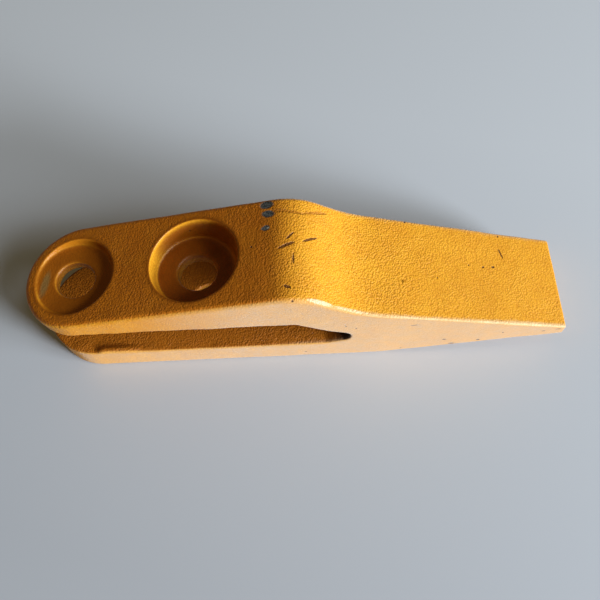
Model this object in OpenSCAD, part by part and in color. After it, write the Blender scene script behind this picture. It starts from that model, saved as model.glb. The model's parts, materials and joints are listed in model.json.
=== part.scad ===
// Bolt-on two-strap bucket tooth, one steel casting.
// Millimetres. +X points to the digging edge, +Z is up, Y is across the tooth.
// The origin is on the flat underside, at the middle of the length and width.
// It lies as it does on a bench: on the flat underside of its lower strap.

/* [Body] */
// Overall length, rear of the straps to the digging edge
tooth_len = 288; // [280:1:300]
// Width across the straps
tooth_w = 60; // [58:1:64]
// Width at the digging edge
tip_w = 55; // [48:1:58]
// Thickness of the digging edge
tip_t = 8; // [5:0.5:10]
// Height of the underside of the digging edge above the flat base
tip_lift = 10; // [6:0.5:12]
// Distance from the rear at which the underside starts to rise
flat_len = 187; // [180:1:195]

/* [Straps] */
// Thickness of the lower strap
low_t = 18; // [16:0.5:20]
// Height of the slot between the straps, for a 25 mm bucket lip
slot_h = 26; // [24:0.5:27]
// Depth of the slot's parallel stretch, from the rear
slot_len = 143; // [138:1:146]
// Height of the upper strap's top face at the very rear, above the base
rear_h = 50.5; // [50:0.5:52]
// Slope of the upper strap's top face, degrees
strap_slope = 9.3; // [8.5:0.1:9.8]

/* [Slot nose] */
// Radius of the round end of the slot
nose_r = 4.9; // [4:0.1:5.2]
// Distance from the rear to the centre of the slot's round end
nose_x = 166; // [164:0.5:167]
// Height of the centre of the slot's round end above the base
nose_z = 25.5; // [24.5:0.5:26.5]
// Distance from the rear to the knee in the slot's sloping roof
knee_x = 160; // [157:0.5:161]
// Height of that knee above the base
knee_z = 33; // [32:0.5:34]

/* [Hump and blade] */
// Radius of the rounded crest
crest_r = 30; // [24:1:34]
// Distance from the rear to a point on the steep front of the hump
front_x = 160; // [158:0.5:162]
// Height of that point above the base
front_z = 64.4; // [62:0.2:66]
// Slope of the hump's front face, degrees
front_slope = 37.6; // [34:0.2:42]
// Radius of the concave neck between hump and blade
neck_r = 60; // [40:5:80]
// Slope of the blade's top face, degrees
blade_slope = 17.3; // [16.8:0.1:17.8]

/* [Bolts] */
// Diameter of the two bolt holes, for 3/4 inch bolts
bolt_d = 20; // [18:0.5:21]
// Distance between the two bolt holes
bolt_pitch = 65.5; // [62:0.5:66]
// Distance from the rear to the rear bolt hole
bolt_rear = 27; // [26.5:0.5:29]
// Rounding of a bolt hole's rim at the pocket floor
rim_r = 1.4; // [0.6:0.2:2]
// Chamfer on the lower strap's hole edges
low_cham = 0.6; // [0.4:0.2:1]

/* [Pockets] */
// Radius of both pockets where the wall would meet the floor, before the bottom fillet
pocket_r = 21; // [19:0.5:21.5]
// Height of the rear pocket's floor above the base
floor_rear = 50.5; // [50:0.5:52]
// Height of the front pocket's floor above the base
floor_front = 52; // [51:0.5:54]
// Draft of the pocket walls, degrees
pocket_draft = 9; // [4:1:12]
// Fillet between a pocket's wall and its floor
pocket_fillet = 3.5; // [2:0.5:4]

/* [Hidden] */

// the rear of the straps is at -x0, the digging edge at +x0
x0 = tooth_len / 2;
slot_z = low_t + slot_h;
x_rear_bolt = bolt_rear - x0;
x_front_bolt = bolt_rear + bolt_pitch - x0;
y_big = tooth_w + 40;

// lines of the top outline as height at a given distance s from the rear
function strap_at(s) = rear_h + tan(strap_slope) * s;
function front_at(s) = front_z - tan(front_slope) * (s - front_x);
function blade_at(s) = tip_lift + tip_t + tan(blade_slope) * (tooth_len - s);

// where the strap line would meet the hump's front line, and that line the blade line
s_top = (front_z + tan(front_slope) * front_x - rear_h) / (tan(strap_slope) + tan(front_slope));
z_top = strap_at(s_top);
s_neck = (front_z + tan(front_slope) * front_x - tip_lift - tip_t - tan(blade_slope) * tooth_len)
         / (tan(front_slope) - tan(blade_slope));
z_neck = blade_at(s_neck);

// tangent lengths of the crest and neck arcs
t_crest = crest_r * tan((strap_slope + front_slope) / 2);
t_neck = neck_r * tan((front_slope - blade_slope) / 2);

// crest arc: centre and its two tangent points
crest_a = [s_top - t_crest * cos(strap_slope), z_top - t_crest * sin(strap_slope)];
crest_b = [s_top + t_crest * cos(front_slope), z_top - t_crest * sin(front_slope)];
crest_c = [crest_a[0] + crest_r * sin(strap_slope), crest_a[1] - crest_r * cos(strap_slope)];

// neck arc: centre and its two tangent points
neck_a = [s_neck - t_neck * cos(front_slope), z_neck + t_neck * sin(front_slope)];
neck_b = [s_neck + t_neck * cos(blade_slope), z_neck - t_neck * sin(blade_slope)];
neck_c = [neck_b[0] + neck_r * sin(blade_slope), neck_b[1] + neck_r * cos(blade_slope)];

// tangent from the slot roof's knee to the round nose
knee_dx = nose_x - knee_x;
knee_dz = knee_z - nose_z;
knee_d = sqrt(knee_dx * knee_dx + knee_dz * knee_dz);
// angle of the tangent point as seen from the nose centre
roof_ang = atan2(knee_dz, -knee_dx) - acos(nose_r / knee_d);

// side outline of the solid body, with s from the rear as its first axis
module side_outline() {
    difference() {
        union() {
            difference() {
                polygon([
                    [0, 0], [flat_len, 0], [tooth_len, tip_lift], [tooth_len, tip_lift + tip_t],
                    neck_b, neck_a, crest_b, crest_a, [0, rear_h]
                ]);
                // the concave neck, tangent to the hump's front and to the blade
                translate(neck_c) circle(r = neck_r, $fn = 180);
            }
            translate(crest_c) circle(r = crest_r, $fn = 96);
        }
        lip_slot_outline();
    }
}

// side outline of the slot that takes the bucket lip
module lip_slot_outline() {
    polygon([
        [-5, low_t], [-5, slot_z], [slot_len, slot_z], [knee_x, knee_z],
        [nose_x + nose_r * cos(roof_ang), nose_z + nose_r * sin(roof_ang)],
        [nose_x, nose_z], [nose_x, nose_z - nose_r], [slot_len + 15, low_t]
    ]);
    translate([nose_x, nose_z]) circle(r = nose_r, $fn = 48);
}

// plan outline: round rear end, parallel straps, blade that narrows a little
module plan_outline() {
    translate([tooth_w / 2, 0]) circle(r = tooth_w / 2, $fn = 120);
    polygon([
        [tooth_w / 2, -tooth_w / 2], [flat_len, -tooth_w / 2], [tooth_len, -tip_w / 2],
        [tooth_len, tip_w / 2], [flat_len, tooth_w / 2], [tooth_w / 2, tooth_w / 2]
    ]);
}

// half section of a pocket: floor at height 0, fillet, drafted wall
module pocket_cut(h) {
    f = pocket_fillet;
    d = pocket_draft;
    // the fillet turns from the flat floor up to the drafted wall
    fr = pocket_r - f * (1 - sin(d)) / cos(d);
    rotate_extrude($fn = 120)
        polygon(concat(
            [[0, 0], [fr, 0]],
            [for (a = [15:15:75]) if (a < 90 - d) [fr + f * sin(a), f * (1 - cos(a))]],
            [[fr + f * sin(90 - d), f * (1 - cos(90 - d))],
             [fr + f * sin(90 - d) + tan(d) * (h - f * (1 - cos(90 - d))), h], [0, h]]
        ));
}

// one bolt hole through both straps, with its eased rims
module bolt_cut(floor_z) {
    translate([0, 0, -5]) cylinder(d = bolt_d, h = floor_z + 10, $fn = 96);
    // rounded rim at the pocket floor
    translate([0, 0, floor_z]) rotate_extrude($fn = 96)
        polygon(concat(
            [[0, 1], [bolt_d / 2 + rim_r, 1], [bolt_d / 2 + rim_r, 0]],
            [for (a = [22.5:22.5:67.5]) [bolt_d / 2 + rim_r * (1 - sin(a)), -rim_r * (1 - cos(a))]],
            [[bolt_d / 2, -rim_r], [0, -rim_r]]
        ));
    // small chamfers on the lower strap's hole
    translate([0, 0, low_t - low_cham])
        cylinder(r1 = bolt_d / 2, r2 = bolt_d / 2 + 2 * low_cham, h = 2 * low_cham, $fn = 96);
    translate([0, 0, -low_cham])
        cylinder(r1 = bolt_d / 2 + 2 * low_cham, r2 = bolt_d / 2, h = 2 * low_cham, $fn = 96);
}

module tooth_casting() {
    color([0.90, 0.62, 0.12])
    difference() {
        intersection() {
            translate([-x0, y_big / 2, 0]) rotate([90, 0, 0])
                linear_extrude(height = y_big) side_outline();
            translate([-x0, 0, -5])
                linear_extrude(height = 100) plan_outline();
        }
        translate([x_rear_bolt, 0, floor_rear]) pocket_cut(40);
        translate([x_front_bolt, 0, floor_front]) pocket_cut(40);
        translate([x_rear_bolt, 0, 0]) bolt_cut(floor_rear);
        translate([x_front_bolt, 0, 0]) bolt_cut(floor_front);
    }
}

tooth_casting();
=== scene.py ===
import json
import math

import bpy
import numpy as np
import openvdb as vdb
from mathutils import Matrix, Vector


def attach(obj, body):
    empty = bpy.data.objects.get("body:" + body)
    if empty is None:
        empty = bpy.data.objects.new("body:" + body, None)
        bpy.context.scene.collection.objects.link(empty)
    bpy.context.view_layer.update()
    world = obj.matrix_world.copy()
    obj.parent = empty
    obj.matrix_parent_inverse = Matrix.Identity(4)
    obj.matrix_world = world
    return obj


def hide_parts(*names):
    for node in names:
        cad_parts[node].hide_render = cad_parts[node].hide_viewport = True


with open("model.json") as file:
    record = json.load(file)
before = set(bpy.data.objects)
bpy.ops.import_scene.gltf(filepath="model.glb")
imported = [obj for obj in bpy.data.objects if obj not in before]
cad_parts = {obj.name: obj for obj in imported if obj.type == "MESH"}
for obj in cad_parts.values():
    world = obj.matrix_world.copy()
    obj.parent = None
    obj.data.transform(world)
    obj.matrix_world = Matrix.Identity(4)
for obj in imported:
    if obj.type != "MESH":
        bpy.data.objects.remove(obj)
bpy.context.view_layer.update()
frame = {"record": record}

# ---------------------------------------------------------------- the design's own dimensions, mm, s = distance from the rear
LEN, WID, TIP_W, TIP_T, TIP_LIFT, FLAT_LEN = 288.0, 60.0, 55.0, 8.0, 10.0, 187.0
LOW_T, SLOT_Z = 18.0, 44.0
REAR_H, STRAP_SLOPE = 50.5, 9.3
CREST_R, FRONT_X, FRONT_Z, FRONT_SLOPE, NECK_R, BLADE_SLOPE = 30.0, 160.0, 64.4, 37.6, 60.0, 17.3
NOSE_R, NOSE_X, NOSE_Z = 4.9, 166.0, 25.5
POCKET_R, POCKET_DRAFT, POCKET_FILLET = 21.0, 9.0, 3.5
X0 = LEN / 2
MOUNTS = {m["name"]: m for m in frame["record"]["mounts"]}
BOLTS = []
for hole, seat in (("rear_bolt_hole", "rear_bolt_seat"), ("front_bolt_hole", "front_bolt_seat")):
    BOLTS.append((MOUNTS[hole]["pos_m"][0] * 1000 + X0, MOUNTS[seat]["pos_m"][2] * 1000, MOUNTS[hole]["dims"]["r_mm"]))


def tand(a):
    return math.tan(math.radians(a))


# ---------------------------------------------------------------- small numeric kit
def fillet_chain(pts):
    """A closed chain of (s, z, radius) corners, with each corner that has a radius turned into an arc."""
    out = []
    n = len(pts)
    for i, (x, z, r) in enumerate(pts):
        p = np.array((x, z))
        a = np.array(pts[i - 1][:2]) - p
        b = np.array(pts[(i + 1) % n][:2]) - p
        if r <= 0:
            out.append(p)
            continue
        a /= np.linalg.norm(a)
        b /= np.linalg.norm(b)
        half = math.acos(max(-1.0, min(1.0, float(a @ b)))) / 2
        t = r / math.tan(half)
        centre = p + (a + b) / np.linalg.norm(a + b) * (r / math.sin(half))
        pa, pb = p + a * t, p + b * t
        a0 = math.atan2(*(pa - centre)[::-1])
        a1 = math.atan2(*(pb - centre)[::-1])
        d = (a1 - a0 + math.pi) % (2 * math.pi) - math.pi
        k = max(3, int(abs(d) / 0.06))
        for j in range(k + 1):
            g = a0 + d * j / k
            out.append(centre + r * np.array((math.cos(g), math.sin(g))))
    return np.array(out)


def sd_poly(px, pz, poly):
    """Signed distance to a closed polygon, negative inside."""
    best = np.full(px.shape, 1e9, np.float32)
    inside = np.zeros(px.shape, bool)
    n = len(poly)
    for i in range(n):
        ax, az = poly[i]
        bx, bz = poly[(i + 1) % n]
        ex, ez = bx - ax, bz - az
        l2 = ex * ex + ez * ez
        if l2 < 1e-12:
            continue
        t = np.clip(((px - ax) * ex + (pz - az) * ez) / l2, 0, 1)
        d = (px - ax - t * ex) ** 2 + (pz - az - t * ez) ** 2
        np.minimum(best, d, out=best)
        cross = (az > pz) != (bz > pz)
        if az != bz:
            xi = ax + (pz - az) * ex / ez
            inside ^= cross & (px < xi)
    return np.where(inside, -np.sqrt(best), np.sqrt(best)).astype(np.float32)


def round_and(a, b, r):
    """Intersection of two solids with their shared edge rounded to radius r."""
    ar, br = a + r, b + r
    return np.minimum(np.maximum(ar, br), 0) + np.hypot(np.maximum(ar, 0), np.maximum(br, 0)) - r


def smooth(e0, e1, x):
    t = np.clip((x - e0) / (e1 - e0), 0, 1)
    return t * t * (3 - 2 * t)


def hash3(ix, iy, iz, seed):
    h = (ix.astype(np.uint32) * np.uint32(73856093)) ^ (iy.astype(np.uint32) * np.uint32(19349663)) ^ (iz.astype(np.uint32) * np.uint32(83492791)) ^ np.uint32(seed * 2654435761 & 0xFFFFFFFF)
    h ^= h >> np.uint32(13)
    h *= np.uint32(1274126177)
    h ^= h >> np.uint32(16)
    h *= np.uint32(2246822519)
    h ^= h >> np.uint32(13)
    return (h & np.uint32(0xFFFFFF)).astype(np.float32) / np.float32(0xFFFFFF) * 2 - 1


def noise3(p, cell, seed):
    """Smooth value noise in -1..1 at points p (n, 3) in mm, with features of about cell mm."""
    q = p / cell + 1000.0
    f = np.floor(q)
    t = (q - f).astype(np.float32)
    t = t * t * t * (t * (t * 6 - 15) + 10)
    i = f.astype(np.int64)
    out = np.zeros(len(p), np.float32)
    for dx in (0, 1):
        wx = t[:, 0] if dx else 1 - t[:, 0]
        for dy in (0, 1):
            wy = t[:, 1] if dy else 1 - t[:, 1]
            for dz in (0, 1):
                wz = t[:, 2] if dz else 1 - t[:, 2]
                out += wx * wy * wz * hash3(i[:, 0] + dx, i[:, 1] + dy, i[:, 2] + dz, seed)
    return out


# ---------------------------------------------------------------- outlines
s_top = (FRONT_Z + tand(FRONT_SLOPE) * FRONT_X - REAR_H) / (tand(STRAP_SLOPE) + tand(FRONT_SLOPE))
z_top = REAR_H + tand(STRAP_SLOPE) * s_top
s_neck = (FRONT_Z + tand(FRONT_SLOPE) * FRONT_X - TIP_LIFT - TIP_T - tand(BLADE_SLOPE) * LEN) / (tand(FRONT_SLOPE) - tand(BLADE_SLOPE))
z_neck = TIP_LIFT + TIP_T + tand(BLADE_SLOPE) * (LEN - s_neck)
rise = TIP_LIFT / (LEN - FLAT_LEN)
body_chain = fillet_chain([
    (-24, 0, 0), (FLAT_LEN, 0, 40), (LEN + 8, TIP_LIFT + 8 * rise, 0), (LEN + 8, TIP_LIFT + TIP_T - 8 * tand(BLADE_SLOPE), 0),
    (s_neck, z_neck, NECK_R), (s_top, z_top, CREST_R), (-24, REAR_H - 24 * tand(STRAP_SLOPE), 0),
])
nose = [(NOSE_X + NOSE_R * math.cos(g), NOSE_Z + NOSE_R * math.sin(g)) for g in np.linspace(math.radians(66), math.radians(-90), 20)]
slot_chain = fillet_chain(
    [(-40, LOW_T, 0), (-40, SLOT_Z, 0), (143, SLOT_Z, 9), (160, 33, 14)]
    + [(x, z, 0) for x, z in nose]
    + [(158, LOW_T, 8)]
)
half_w, half_t = WID / 2, TIP_W / 2
rear_arc = [(half_w + half_w * math.cos(g), half_w * math.sin(g), 0) for g in np.linspace(math.pi / 2, 3 * math.pi / 2, 61)]
plan_chain = fillet_chain(rear_arc + [(FLAT_LEN, -half_w, 60), (LEN, -half_t, 1.6), (LEN, half_t, 1.6), (FLAT_LEN, half_w, 60)])

# ---------------------------------------------------------------- the casting as one distance field
H = 0.5  # mm
LO = np.array((-2.0, -32.0, -2.0))
N = (np.array((292.0, 64.0, 77.0)) / H).astype(int)
gs = (LO[0] + np.arange(N[0]) * H).astype(np.float32)
gy = (LO[1] + np.arange(N[1]) * H).astype(np.float32)
gz = (LO[2] + np.arange(N[2]) * H).astype(np.float32)
S2, Z2 = np.meshgrid(gs, gz, indexing="ij")
solid2 = sd_poly(S2, Z2, body_chain)
slot2 = sd_poly(S2, Z2, slot_chain)
SP, YP = np.meshgrid(gs, gy, indexing="ij")
plan = sd_poly(SP, YP, plan_chain)

# edge rounding: soft on top of the straps and hump, tighter on the slot's lips and along the blade
edge_r = 1.4 + 1.5 * smooth(46, 53, Z2) * (1 - smooth(150, 180, S2)) + 0.3 * smooth(3, 0, Z2) - 0.1 * smooth(240, 285, S2)
profile = np.maximum(solid2, -slot2)
d = round_and(profile[:, None, :], plan[:, :, None], edge_r[:, None, :].astype(np.float32)).astype(np.float32)
Z3 = gz[None, None, :]
for sx, zf, rr in BOLTS:
    rho = np.hypot(SP - sx, YP)[:, :, None].astype(np.float32)
    side = (rho - (POCKET_R + tand(POCKET_DRAFT) * (Z3 - zf))) * math.cos(math.radians(POCKET_DRAFT))
    # the foot of the wall is crisper on the side toward the rear, fuller toward the hump
    turn = (SP - sx) / np.maximum(np.hypot(SP - sx, YP), 1)
    foot = (1.5 + (POCKET_FILLET - 1.5) * smooth(-0.7, 0.7, turn))[:, :, None].astype(np.float32)
    void = round_and(side, zf - Z3 + 0 * side, foot)
    d = round_and(d, -void, 1.0)
    # the cored hole draws in a little toward the slot, and its mouths are well rounded
    bore = rr + 0.15 - 0.085 * np.clip(zf - Z3, 0, 9)
    d = round_and(d, bore - rho, np.where(Z3 > 47, 1.7, np.where(Z3 > 12, 1.9, 0.9)).astype(np.float32))
    del rho, side, void
d = d.astype(np.float32)

# the cast skin's slow unevenness, kept inside the nominal faces, with the fin left along the lower strap's near edge
near = np.argwhere(np.abs(d) < 2.4)
pts = near * H + LO
lump = noise3(pts, 26.0, 3) * 0.15 + noise3(pts, 9.0, 5) * 0.07
lips = np.exp(-(((pts[:, 2] - 18) / 2.5) ** 2)) + np.exp(-(((pts[:, 2] - 44) / 2.5) ** 2))
lump += noise3(pts, 5.5, 21) * 0.24 * lips * smooth(25, 28, np.abs(pts[:, 1])) * smooth(172, 160, pts[:, 0])
ps, py, pz = pts[:, 0], pts[:, 1], pts[:, 2]
fin = smooth(29.0, 35.0, ps) * (1 - smooth(38, 66, ps)) * np.exp(-(((py + 28.0) / 2.0) ** 2)) * np.exp(-(((pz - 18.6) / 2.2) ** 2))
fin2 = 0.5 * (1 - smooth(2.0, 6.5, np.abs(ps - 22))) * np.exp(-(((py + 25.0) / 3.5) ** 2)) * np.exp(-(((pz - 18.5) / 2.0) ** 2))
wave = 0.5 * np.exp(-(((ps - 24) / 7) ** 2)) * np.exp(-(((pz - 44.3) / 2.0) ** 2)) * smooth(10, 24, -py)
inset = 0.20 + lump - 2.1 * fin - 0.8 * fin2 - wave
d[near[:, 0], near[:, 1], near[:, 2]] += inset.astype(np.float32)
del lips, near, pts, ps, py, pz, lump, fin, fin2, wave, inset

grid = vdb.FloatGrid()
grid.background = 3.0
grid.copyFromArray(np.clip(d, -3, 3))
verts, quads = grid.convertToQuads(isovalue=0.0)
verts = np.asarray(verts, np.float64)
quads = np.asarray(quads)[:, ::-1]


def field_at(f, q):
    """Trilinear sample of grid field f at index coordinates q."""
    q = np.clip(q, 0, np.array(f.shape) - 1.001)
    i = q.astype(int)
    t = (q - i).astype(np.float32)
    out = 0
    for dx in (0, 1):
        wx = t[:, 0] if dx else 1 - t[:, 0]
        for dy in (0, 1):
            wy = t[:, 1] if dy else 1 - t[:, 1]
            for dz in (0, 1):
                wz = t[:, 2] if dz else 1 - t[:, 2]
                out = out + wx * wy * wz * f[i[:, 0] + dx, i[:, 1] + dy, i[:, 2] + dz]
    return out


nrm = np.stack([field_at(d, verts + e) - field_at(d, verts - e) for e in np.eye(3)], 1)
nrm /= np.linalg.norm(nrm, axis=1)[:, None]
verts = verts * H + LO
del d

# masks on the surface: which face a point is on
vs, vy, vz = verts.T
up = smooth(0.35, 0.75, nrm[:, 2])
flank = smooth(0.45, 0.85, np.abs(nrm[:, 1])) * smooth(3.5, 0.8, 30.0 - np.abs(vy) - 2.5 * smooth(187, 288, vs))
flank = np.maximum(flank, smooth(0.5, 0.9, -nrm[:, 0]) * smooth(12, 4, vs) + 0)
# a cream chalky film on the flanks, partly a painted sheen, fading toward the rear of the upper strap
chalk_and_painted_sheen = flank * np.where(vz > 31, 0.04 + 0.96 * smooth(52, 130, vs), 0.38 + 0.62 * smooth(10, 120, vs))
# painted highlight: a cream band along the top edges from the hump on
chalk_and_painted_sheen = np.maximum(chalk_and_painted_sheen, 0.75 * smooth(2.6, 0.9, 30.0 - np.abs(vy) - 2.5 * smooth(187, 288, vs)) * smooth(128, 150, vs))
# painted shade: the strap top behind the hump and the slot's inside take the darker, shaded copy of the paint
painted_shade = (1 - flank) * np.maximum(smooth(152, 128, vs) * smooth(0.55, 0.9, nrm[:, 2] - 0.3 * nrm[:, 0]), smooth(47, 44, vz) * smooth(172, 168, vs) * smooth(16, 18, vz))
pocket = np.zeros(len(verts))
for sx, zf, rr in BOLTS:
    rho = np.hypot(vs - sx, vy)
    pocket = np.maximum(pocket, smooth(24.5, 22.0, rho - tand(POCKET_DRAFT) * np.maximum(vz - zf, 0) + 0.6) * smooth(zf - 4, zf - 2, vz))

# how far a surface turns toward the key light in plan; pocket walls turned away from it get painted shade
key_light_facing = nrm[:, 0] * 0.79 - nrm[:, 1] * 0.61
wall_m = pocket * smooth(0.85, 0.55, nrm[:, 2])
drop = REAR_H + tand(STRAP_SLOPE) * vs - vz
# more painted shade: pocket walls turned away from the key light, the far walls below the rim, the rear pocket's
# walls, and the rear half of the upper strap's near flank
painted_shade = np.maximum(painted_shade, 1.6 * wall_m * (1 - smooth(-0.25, 0.55, key_light_facing))).clip(0, 1)
painted_shade = np.maximum(painted_shade, wall_m * smooth(0.30, 0.85, -nrm[:, 1]) * smooth(1.2, 5.0, drop))
painted_shade = np.maximum(painted_shade, 0.75 * wall_m * (vs < 60))
painted_shade = np.maximum(painted_shade, 0.45 * flank * smooth(30, 36, vz) * smooth(160, 70, vs))
far = smooth(178, 245, vs)
edge_gap = 30.0 - np.abs(vy) - 2.5 * smooth(187, 288, vs)
# painted highlight: a cream band along the blade's near top edge
painted_edge_highlight = smooth(2.6, 0.9, edge_gap) * smooth(0.10, 0.45, nrm[:, 2]) * smooth(170, 190, vs) * (vy < 0)
low_edge = flank * (smooth(4.5, 1.0, vz - TIP_LIFT * np.clip((vs - FLAT_LEN) / (LEN - FLAT_LEN), 0, 1)) + smooth(14.0, 17.0, vz) * smooth(21, 18, vz) * smooth(172, 160, vs)).clip(0, 1)
# painted shade in the pocket recesses: the floors, a ring round each bore, and the lower far walls are given a dark
# reddish brown
pocket_floor_shade_m = pocket * smooth(0.60, 0.93, nrm[:, 2]) * np.where(vs < 60, 0.62, 1.0)
for sx, zf, rr in BOLTS:
    ring = smooth(15.5, 14.0, np.hypot(vs - sx, vy)) * smooth(zf - 3, zf - 2, vz) * smooth(62, 58, vz)
    pocket_floor_shade_m = np.maximum(pocket_floor_shade_m, ring * (0.35 if sx < 60 else 0.95))
pocket_floor_shade_m = np.maximum(pocket_floor_shade_m, 0.8 * wall_m * smooth(0.15, 0.65, -nrm[:, 1]) * smooth(1.0, 4.0, drop) * (vs > 60))
# painted shade inside the bores: their walls are given a dark brown
bore_shade_m = np.zeros(len(verts))
for sx, zf, rr in BOLTS:
    bore_shade_m = np.maximum(bore_shade_m, smooth(14.0, 12.5, np.hypot(vs - sx, vy)) * smooth(zf + 2, zf + 1, vz) * smooth(0.6, 0.3, np.abs(nrm[:, 2])))
# painted shade: the inside of the slot between the straps is darkened
slot_shade_m = (1 - flank) * smooth(47, 44, vz) * smooth(172, 168, vs) * smooth(16, 18, vz) * smooth(31, 28.5, np.abs(vy))

# orange peel: rounded grains on the top faces and in the slot, faint on the flanks, faint in the pockets
grain_amp = 0.045 * (1 - 0.75 * flank) * (1 - 0.55 * pocket)
relief = noise3(verts, 2.7, 11) * 0.55 + noise3(verts, 1.4, 13) * 0.6
verts = verts + nrm * (grain_amp * (relief - 0.6))[:, None]
verts[:, 2] = np.maximum(verts[:, 2], 0.02)
verts[:, 1] = np.clip(verts[:, 1], -29.97, 29.97)
verts = (verts - np.array((X0, 0, 0))) / 1000.0

mesh = bpy.data.meshes.new("cast_tooth")
mesh.vertices.add(len(verts))
mesh.vertices.foreach_set("co", verts.astype(np.float32).ravel())
mesh.loops.add(len(quads) * 4)
mesh.loops.foreach_set("vertex_index", quads.astype(np.int32).ravel())
mesh.polygons.add(len(quads))
mesh.polygons.foreach_set("loop_start", np.arange(0, len(quads) * 4, 4, dtype=np.int32))
mesh.polygons.foreach_set("loop_total", np.full(len(quads), 4, np.int32))
mesh.update(calc_edges=True)
for name, values in (("flank", flank), ("pocket", pocket), ("chalk_and_painted_sheen", chalk_and_painted_sheen), ("painted_shade", painted_shade), ("pocket_floor_shade", pocket_floor_shade_m), ("bore", bore_shade_m), ("slot", slot_shade_m), ("far", far), ("painted_edge_highlight", painted_edge_highlight), ("low_edge", low_edge)):
    mesh.attributes.new(name, "FLOAT", "POINT").data.foreach_set("value", values.astype(np.float32))
mesh.polygons.foreach_set("use_smooth", np.ones(len(mesh.polygons), bool))
tooth = bpy.data.objects.new("cast_tooth", mesh)
bpy.context.scene.collection.objects.link(tooth)
dec = tooth.modifiers.new("thin", "DECIMATE")
dec.ratio = min(1.0, 190000 / (2 * len(quads)))
bpy.context.view_layer.objects.active = tooth
tooth.select_set(True)
bpy.ops.object.modifier_apply(modifier="thin")
print("cast mesh", len(tooth.data.vertices), len(tooth.data.polygons))


# ---------------------------------------------------------------- materials
def nodes_of(name):
    m = bpy.data.materials.new(name)
    m.use_nodes = True
    nt = m.node_tree
    return m, nt, nt.nodes["Principled BSDF"]


class Net:
    """Short helpers for wiring a procedural material."""

    def __init__(self, nt):
        self.nt = nt
        self.coord = self.add("ShaderNodeTexCoord").outputs["Object"]

    def add(self, kind, **kw):
        n = self.nt.nodes.new(kind)
        for k, v in kw.items():
            setattr(n, k, v)
        return n

    def put(self, sock, v):
        if isinstance(v, bpy.types.NodeSocket):
            self.nt.links.new(v, sock)
        elif isinstance(v, (int, float)):
            sock.default_value = v
        else:
            sock.default_value = (*v, 1) if sock.type == "RGBA" and len(v) == 3 else v

    def noise(self, scale, detail=3.0, rough=0.55, dist=0.0, vec=None):
        n = self.add("ShaderNodeTexNoise")
        self.put(n.inputs["Vector"], vec or self.coord)
        n.inputs["Scale"].default_value = scale
        n.inputs["Detail"].default_value = detail
        n.inputs["Roughness"].default_value = rough
        n.inputs["Distortion"].default_value = dist
        return n.outputs["Fac"]

    def noise_vec(self, scale):
        n = self.add("ShaderNodeTexNoise")
        self.put(n.inputs["Vector"], self.coord)
        n.inputs["Scale"].default_value = scale
        n.inputs["Detail"].default_value = 2.0
        return n.outputs["Color"]

    def cells(self, scale, vec=None, feature="SMOOTH_F1"):
        n = self.add("ShaderNodeTexVoronoi", feature=feature)
        self.put(n.inputs["Vector"], vec or self.coord)
        n.inputs["Scale"].default_value = scale
        if feature == "SMOOTH_F1":
            n.inputs["Smoothness"].default_value = 0.30
        return n.outputs["Distance"]

    def ramp(self, fac, stops, interp="LINEAR"):
        r = self.add("ShaderNodeValToRGB")
        cr = r.color_ramp
        cr.interpolation = interp
        while len(cr.elements) < len(stops):
            cr.elements.new(0.5)
        for e, (p, c) in zip(cr.elements, stops):
            e.position = p
            e.color = (c, c, c, 1) if isinstance(c, (int, float)) else (*c, 1)
        self.put(r.inputs["Fac"], fac)
        return r.outputs["Color"]

    def mix(self, fac, a, b, mode="MIX"):
        n = self.add("ShaderNodeMix", data_type="RGBA", blend_type=mode)
        self.put(n.inputs[0], fac)
        self.put(n.inputs[6], a)
        self.put(n.inputs[7], b)
        return n.outputs[2]

    def math(self, op, a, b=None, c=None, clamp=False):
        n = self.add("ShaderNodeMath", operation=op, use_clamp=clamp)
        for i, v in enumerate((a, b, c)):
            if v is not None:
                self.put(n.inputs[i], v)
        return n.outputs[0]

    def attr(self, name):
        return self.add("ShaderNodeAttribute", attribute_name=name).outputs["Fac"]

    def blob(self, centre, half, angle=0.0, vec=None, edge=0.35):
        """Soft mask, 1 inside a small ellipsoid at centre (mm from the rear, mm), turned about z."""
        m = self.add("ShaderNodeMapping", vector_type="TEXTURE")
        self.put(m.inputs["Vector"], vec or self.coord)
        m.inputs["Location"].default_value = ((centre[0] - X0) / 1000, centre[1] / 1000, centre[2] / 1000)
        m.inputs["Rotation"].default_value = (0, 0, math.radians(angle))
        m.inputs["Scale"].default_value = tuple(h / 1000 for h in half)
        g = self.add("ShaderNodeTexGradient", gradient_type="SPHERICAL")
        self.put(g.inputs["Vector"], m.outputs["Vector"])
        return self.ramp(g.outputs["Fac"], [(0.0, 0.0), (edge, 1.0)])

    def most(self, masks):
        out = masks[0]
        for m in masks[1:]:
            out = self.math("MAXIMUM", out, m)
        return out


def top_z(s):
    return min(REAR_H + tand(STRAP_SLOPE) * s, FRONT_Z - tand(FRONT_SLOPE) * (s - FRONT_X)) if s < s_neck else TIP_LIFT + TIP_T + tand(BLADE_SLOPE) * (LEN - s)


def line_mark(net, a, b, half_width, depth=2.5, **kw):
    """A line-shaped mark from a to b, both (s, y, z): scratches, creases and painted highlights."""
    a, b = np.array(a, float), np.array(b, float)
    mid = (a + b) / 2
    kw.setdefault("edge", 0.22)
    run = b - a
    ang = math.degrees(math.atan2(run[1], run[0]))
    return net.blob(mid, (np.hypot(run[0], run[1]) / 2 * 1.35, half_width, depth), ang, **kw)


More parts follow.
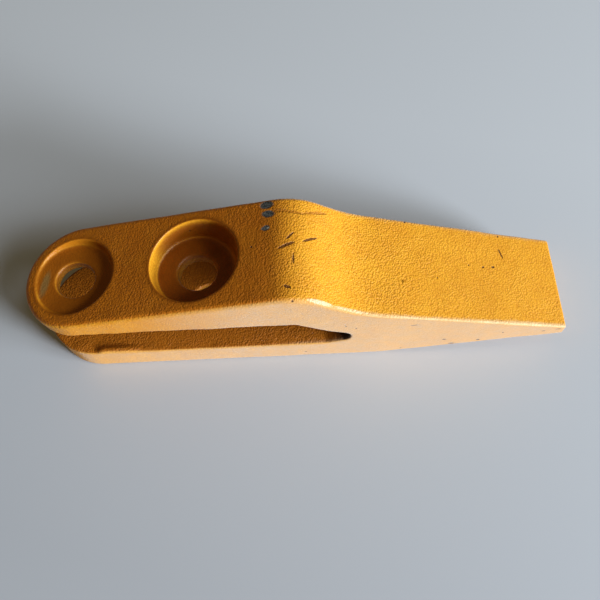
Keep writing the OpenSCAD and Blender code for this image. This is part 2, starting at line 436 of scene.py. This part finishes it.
def paint_material():
    m, nt, bsdf = nodes_of("cast_paint")
    net = Net(nt)
    flank_a, pocket_a = net.attr("flank"), net.attr("pocket")
    # a slightly disturbed coordinate, so that marks do not have ruled edges
    wob = net.add("ShaderNodeVectorMath", operation="MULTIPLY_ADD")
    net.put(wob.inputs[0], net.noise_vec(900))
    wob.inputs[1].default_value = (0.0009, 0.0009, 0.0009)
    shift = net.add("ShaderNodeVectorMath", operation="ADD")
    net.put(shift.inputs[0], net.coord)
    shift.inputs[1].default_value = (-0.00045, -0.00045, -0.00045)
    net.put(wob.inputs[2], shift.outputs[0])
    wv = wob.outputs[0]

    # grain of the cast skin under the paint
    grains = net.cells(1000)
    peel = net.noise(1500, 3.0, 0.6)
    fine = net.noise(2300, 2.0, 0.5)
    broad = net.noise(26, 3.0, 0.55)
    cloud = net.noise(95, 4.0, 0.6)

    chips = net.most([
        net.blob((131.2, 25.9, 72), (4.0, 2.6, 3), 4, wv, 0.25),
        net.blob((131.9, 20.3, 72), (3.7, 2.3, 3), -6, wv, 0.25),
        net.blob((130.6, 12.0, 72), (2.5, 1.8, 3), 10, wv, 0.3),
    ])
    scratches = net.most([
        line_mark(net, (141.2, 4.7, 73.6), (145.0, 8.9, 74.0), 0.85, vec=wv),
        line_mark(net, (137.4, -0.4, 73.0), (145.3, 3.1, 74.0), 1.0, vec=wv),
        line_mark(net, (149.5, 4.0, 72.3), (156.0, 7.3, 67.6), 0.75, 6, vec=wv),
        line_mark(net, (144.4, -2.2, 74.0), (144.1, -10.4, 74.0), 0.95, vec=wv),
        line_mark(net, (256.2, 17.2, 27.9), (257.8, 12.2, 27.4), 0.6, vec=wv),
        line_mark(net, (139.6, -21.2, 72.5), (142.4, -22.2, 73.0), 0.8, vec=wv),
    ])
    crease = net.most([
        line_mark(net, (134.5, 22.0, 72.5), (150.0, 19.8, 73.0), 0.85, 3, vec=wv),
        line_mark(net, (149.0, 19.9, 73.0), (163.0, 24.6, 64.0), 0.8, 8, vec=wv),
    ])
    pits = net.most([
        net.blob((245.2, 5.0, 31.2), (0.8, 0.8, 1.5), 0, wv),
        net.blob((251.1, 5.6, 29.4), (1.0, 0.8, 1.5), 0, wv),
        net.blob((227.2, -29.5, 6.5), (2.0, 2.5, 0.9), 0, wv),
        net.blob((241.6, -29.0, 9.2), (1.2, 2.5, 1.1), 0, wv),
        net.blob((283.6, -28, 16.2), (1.8, 2.5, 0.5), 0, wv),
        net.blob((204.2, -29.8, 35.5), (2.6, 2.5, 0.5), 0, wv),
        net.blob((222.5, -29.6, 13.0), (1.4, 2.5, 0.7), 0, wv),
        net.blob((276.0, -28.0, 15.2), (1.3, 2.5, 0.6), 0, wv),
    ])
    # a painted cream highlight along the near edge, where the hump turns down into the neck
    painted_neck_highlight = net.most([
        line_mark(net, (150.0, -27.9, 71.0), (163.0, -28.3, 62.5), 1.1, 7, vec=wv),
        line_mark(net, (163.0, -28.3, 61.5), (182.0, -28.6, 52.0), 0.9, 8, vec=wv),
    ])
    # scattered tiny pinholes, everywhere but rare
    pin_cells = net.cells(150, feature="F1")
    pin = net.math("MULTIPLY", net.ramp(pin_cells, [(0.06, 1.0), (0.10, 0.0)]), net.ramp(net.noise(60, 1), [(0.58, 0.0), (0.63, 1.0)]))
    # the narrow end of the slot is painted near-black
    nose_dark = net.blob((175, 0, 25), (17, 60, 14), 0, wv, 0.30)

    # the paint as a lit copy and as a darker, redder painted-shade copy; the mask of painted shade chooses between
    # them
    lit_paint = net.ramp(broad, [(0.30, (0.790, 0.345, 0.0160)), (0.72, (0.900, 0.415, 0.0225))])
    shaded_paint = net.ramp(broad, [(0.30, (0.440, 0.119, 0.0040)), (0.72, (0.525, 0.150, 0.0052))])
    base = net.mix(net.attr("painted_shade"), lit_paint, shaded_paint)
    base = net.mix(net.ramp(cloud, [(0.42, 0.0), (0.75, 0.45)]), base, (0.62, 0.215, 0.009))
    # the colour is lighter on the grain tops and darker in the valleys
    valley = net.ramp(grains, [(0.30, 0.0), (0.78, 1.0)])
    base = net.mix(net.math("MULTIPLY", net.attr("far"), 0.50), base, (0.690, 0.295, 0.0180))
    base = net.mix(net.math("MULTIPLY", valley, 0.40), base, (0.50, 0.150, 0.006))
    # painted shade: the slot's inside darker
    base = net.mix(net.math("MULTIPLY", net.attr("slot"), 0.75), base, (0.325, 0.096, 0.0042))
    # painted shade: dark reddish brown on the pocket floors and their lower far walls
    base = net.mix(net.math("MULTIPLY", net.attr("pocket_floor_shade"), 0.90), base, net.ramp(net.noise(120, 4, 0.6), [(0.3, (0.200, 0.046, 0.0024)), (0.7, (0.275, 0.070, 0.0034))]))
    # painted shade: the bore walls darker
    base = net.mix(net.math("MULTIPLY", net.attr("bore"), 0.75), base, (0.230, 0.072, 0.0050))
    # a chalky film on the flanks, partly a painted sheen, and a painted highlight along the top edges from the hump on
    chalk_and_painted_sheen = net.math("MULTIPLY", net.attr("chalk_and_painted_sheen"), net.ramp(net.noise(140, 4, 0.6), [(0.28, 0.50), (0.66, 1.0)]))
    base = net.mix(net.math("MULTIPLY", chalk_and_painted_sheen, 0.85), base, (0.535, 0.298, 0.118))
    # the film and its painted sheen are mottled, and thinner along the lower edges, so the orange comes through
    base = net.mix(net.math("MULTIPLY", flank_a, net.ramp(net.noise(420, 3, 0.65), [(0.46, 0.0), (0.66, 0.42)])), base, (0.600, 0.290, 0.060))
    base = net.mix(net.math("MULTIPLY", net.attr("low_edge"), net.ramp(cloud, [(0.35, 0.10), (0.65, 0.55)])), base, (0.640, 0.305, 0.055))
    # painted highlight along the blade's near top edge
    base = net.mix(net.math("MULTIPLY", net.attr("painted_edge_highlight"), net.ramp(cloud, [(0.30, 0.25), (0.62, 0.70)])), base, (0.760, 0.540, 0.270))
    base = net.mix(net.math("MULTIPLY", crease, 0.7), base, (0.40, 0.125, 0.006))
    base = net.mix(net.math("MULTIPLY", scratches, 0.92), base, (0.120, 0.035, 0.006))
    # painted highlight along the near edge at the neck
    base = net.mix(net.math("MULTIPLY", painted_neck_highlight, net.ramp(cloud, [(0.35, 0.35), (0.60, 0.9)])), base, (0.780, 0.560, 0.300))
    base = net.mix(net.math("MULTIPLY", net.math("MAXIMUM", pits, pin), 0.9), base, (0.10, 0.035, 0.010))
    base = net.mix(chips, base, net.ramp(net.noise(700, 3, 0.6), [(0.35, (0.070, 0.075, 0.076)), (0.66, (0.235, 0.240, 0.235))]))
    speck = net.blob((132.0, 12.0, 72), (0.9, 0.7, 3), 0, wv, 0.3)
    base = net.mix(speck, base, (0.62, 0.56, 0.46))
    # a grey, thinly painted patch on the rear pocket's floor, toward the strap's end
    thin = net.blob((11.0, -2.0, 50.5), (2.6, 9.5, 3), -8, wv, 0.5)
    base = net.mix(net.math("MULTIPLY", thin, 0.55), base, (0.20, 0.170, 0.060))
    base = net.mix(net.math("MULTIPLY", nose_dark, net.math("SUBTRACT", 1.0, flank_a)), base, (0.045, 0.020, 0.009))
    net.put(bsdf.inputs["Base Color"], base)

    rough = net.ramp(peel, [(0.3, 0.40), (0.7, 0.55)])
    rough = net.mix(net.math("MULTIPLY", flank_a, 0.8), rough, (0.62, 0.62, 0.62))
    rough = net.mix(net.math("MULTIPLY", pocket_a, 0.8), rough, (0.36, 0.36, 0.36))
    net.put(bsdf.inputs["Roughness"], rough)
    bsdf.inputs["Specular IOR Level"].default_value = 0.28
    net.put(bsdf.inputs["Metallic"], net.math("MULTIPLY", chips, 0.6))
    net.put(bsdf.inputs["Sheen Weight"], net.math("MULTIPLY", net.attr("chalk_and_painted_sheen"), 0.45))
    bsdf.inputs["Sheen Roughness"].default_value = 0.45

    # height in mm: grains, finer peel, marks
    h = net.math("MULTIPLY", net.math("SUBTRACT", 0.5, grains), 0.40)
    h = net.math("MULTIPLY_ADD", peel, 0.34, h)
    h = net.math("MULTIPLY_ADD", fine, 0.07, h)
    calm = net.math("SUBTRACT", 1.0, net.math("MAXIMUM", net.math("MULTIPLY", flank_a, 0.55), net.math("MULTIPLY", pocket_a, 0.62)))
    h = net.math("MULTIPLY", h, calm)
    h = net.math("MULTIPLY", h, net.ramp(net.noise(70, 3, 0.6), [(0.32, 0.62), (0.62, 1.0)]))
    h = net.math("MULTIPLY", h, net.math("MULTIPLY_ADD", net.attr("far"), -0.38, 1.0))
    h = net.math("MULTIPLY_ADD", net.math("MAXIMUM", scratches, crease), -0.30, h)
    h = net.math("MULTIPLY_ADD", net.math("MAXIMUM", pits, pin), -0.45, h)
    h = net.math("MULTIPLY_ADD", chips, -0.20, h)
    bump = net.add("ShaderNodeBump")
    bump.inputs["Strength"].default_value = 1.0
    bump.inputs["Distance"].default_value = 0.001
    net.put(bump.inputs["Height"], h)
    net.put(bsdf.inputs["Normal"], bump.outputs["Normal"])
    return m


paint = paint_material()
tooth.data.materials.append(paint)
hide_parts("tooth_casting")
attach(tooth, "root")

# ---------------------------------------------------------------- floor
# the floor's colour darkens toward one side: a painted shade gradient standing in for the light falling off
fm, fnt, fb = nodes_of("pale_floor_painted_shade")
ftc = fnt.nodes.new("ShaderNodeTexCoord")
fmap = fnt.nodes.new("ShaderNodeMapping")
fmap.inputs["Rotation"].default_value = (0, 0, math.radians(-72))
fmap.inputs["Scale"].default_value = (3.2, 3.2, 3.2)
fmap.inputs["Location"].default_value = (0.52, 0, 0)
floor_shade_gradient = fnt.nodes.new("ShaderNodeTexGradient")
floor_shade_ramp = fnt.nodes.new("ShaderNodeValToRGB")
floor_shade_ramp.color_ramp.elements[0].color = (0.515, 0.530, 0.555, 1)
floor_shade_ramp.color_ramp.elements[1].color = (0.655, 0.672, 0.690, 1)
fnt.links.new(ftc.outputs["Object"], fmap.inputs["Vector"])
fnt.links.new(fmap.outputs["Vector"], floor_shade_gradient.inputs["Vector"])
fnt.links.new(floor_shade_gradient.outputs["Fac"], floor_shade_ramp.inputs["Fac"])
fnt.links.new(floor_shade_ramp.outputs["Color"], fb.inputs["Base Color"])
fb.inputs["Roughness"].default_value = 0.55
bpy.ops.mesh.primitive_plane_add(size=6)
floor = bpy.context.object
floor.name = "floor"
floor.data.materials.append(fm)

# ---------------------------------------------------------------- light
scene = bpy.context.scene
scene.view_settings.view_transform = "Standard"
scene.view_settings.look = "None"
world = bpy.data.worlds.new("studio")
scene.world = world
world.use_nodes = True
bg = world.node_tree.nodes["Background"]
bg.inputs["Color"].default_value = (1.0, 0.78, 0.38, 1)
bg.inputs["Strength"].default_value = 0.11


def area(name, az, el, dist, size, power, color, target=(0.0, 0.0, 0.02)):
    li = bpy.data.lights.new(name, "AREA")
    li.shape = "SQUARE"
    li.size = size
    li.energy = power
    li.color = color
    o = bpy.data.objects.new(name, li)
    scene.collection.objects.link(o)
    a, e = math.radians(az), math.radians(el)
    v = Vector((math.cos(a) * math.cos(e), math.sin(a) * math.cos(e), math.sin(e)))
    o.location = Vector(target) + v * dist
    o.rotation_euler = v.to_track_quat("Z", "Y").to_euler()
    return o


area("key", -34, 12.5, 3.2, 0.80, 150, (0.89, 0.99, 1.11))
area("window", -24, 30, 3.2, 1.35, 79, (0.89, 0.99, 1.11))

# ---------------------------------------------------------------- camera, at the photograph's angle
cam_data = bpy.data.cameras.new("camera")
cam_data.sensor_width = 36.0
cam_data.lens = 38.676
cam_data.clip_start = 0.01
cam = bpy.data.objects.new("camera", cam_data)
scene.collection.objects.link(cam)
CR = Vector((0.9977583679, -0.0258663290, -0.0617184916))
CU = Vector((0.0499691560, 0.9014341849, 0.4300226666))
CF = Vector((-0.0445120504, 0.4321427350, -0.9007060197))
CL = Vector((0.016494819, -0.160424664, 0.345973011))
cam.matrix_world = Matrix(((CR.x, CU.x, -CF.x, CL.x), (CR.y, CU.y, -CF.y, CL.y), (CR.z, CU.z, -CF.z, CL.z), (0, 0, 0, 1)))
scene.camera = cam

bpy.context.view_layer.update()
